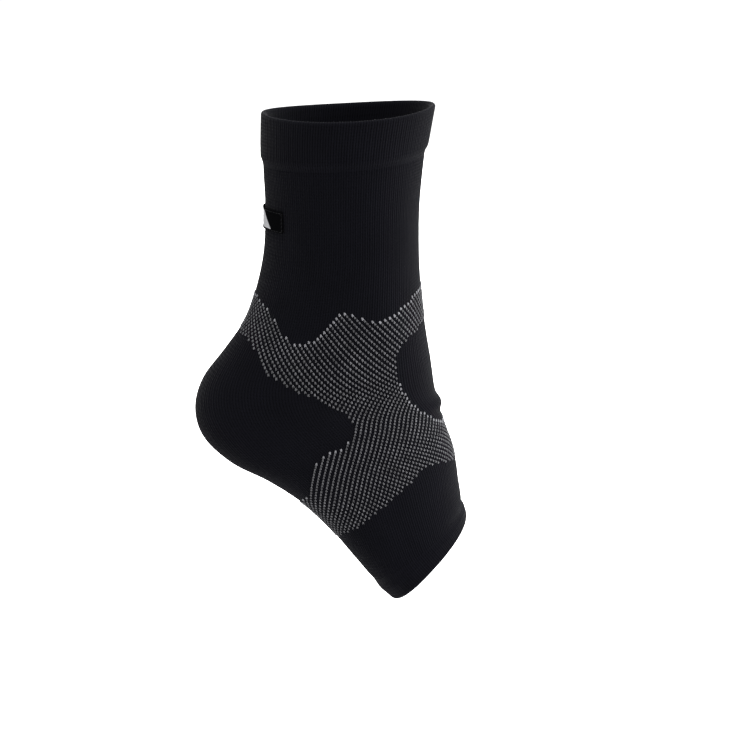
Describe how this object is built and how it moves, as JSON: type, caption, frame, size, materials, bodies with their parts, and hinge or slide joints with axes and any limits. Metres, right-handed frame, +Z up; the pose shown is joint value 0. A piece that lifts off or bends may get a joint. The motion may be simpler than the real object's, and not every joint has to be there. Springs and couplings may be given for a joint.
{
  "type": "ankle brace",
  "caption": "Knitted compression ankle sleeve with a turned cuff and toe hem, a heel pocket and a dotted support wrap, open at the leg and toe ends.",
  "frame": {"origin": "middle of the ankle, inside the hollow, where the sleeve is held when it is worn", "axes": "+Z up the leg, +X forward to the toe opening, -Y to the outer side of the ankle"},
  "size_m": [0.1436, 0.0828, 0.2607],
  "materials": {
    "black_knit": "fine black jersey knit, matt with a soft sheen at the edges",
    "welt_knit": "black rib knit, doubled",
    "support_knit": "black knit with staggered light grey stitches",
    "label_weave": "black satin weave, bare"
  },
  "bodies": {
    "root": {"top_cuff": "welt_knit", "leg_tube": "black_knit", "support_wrap": "support_knit", "heel_pocket": "black_knit", "instep_panel": "black_knit", "forefoot_band": "black_knit", "toe_hem": "welt_knit", "back_label": "label_weave"}
  },
  "joints": []
}
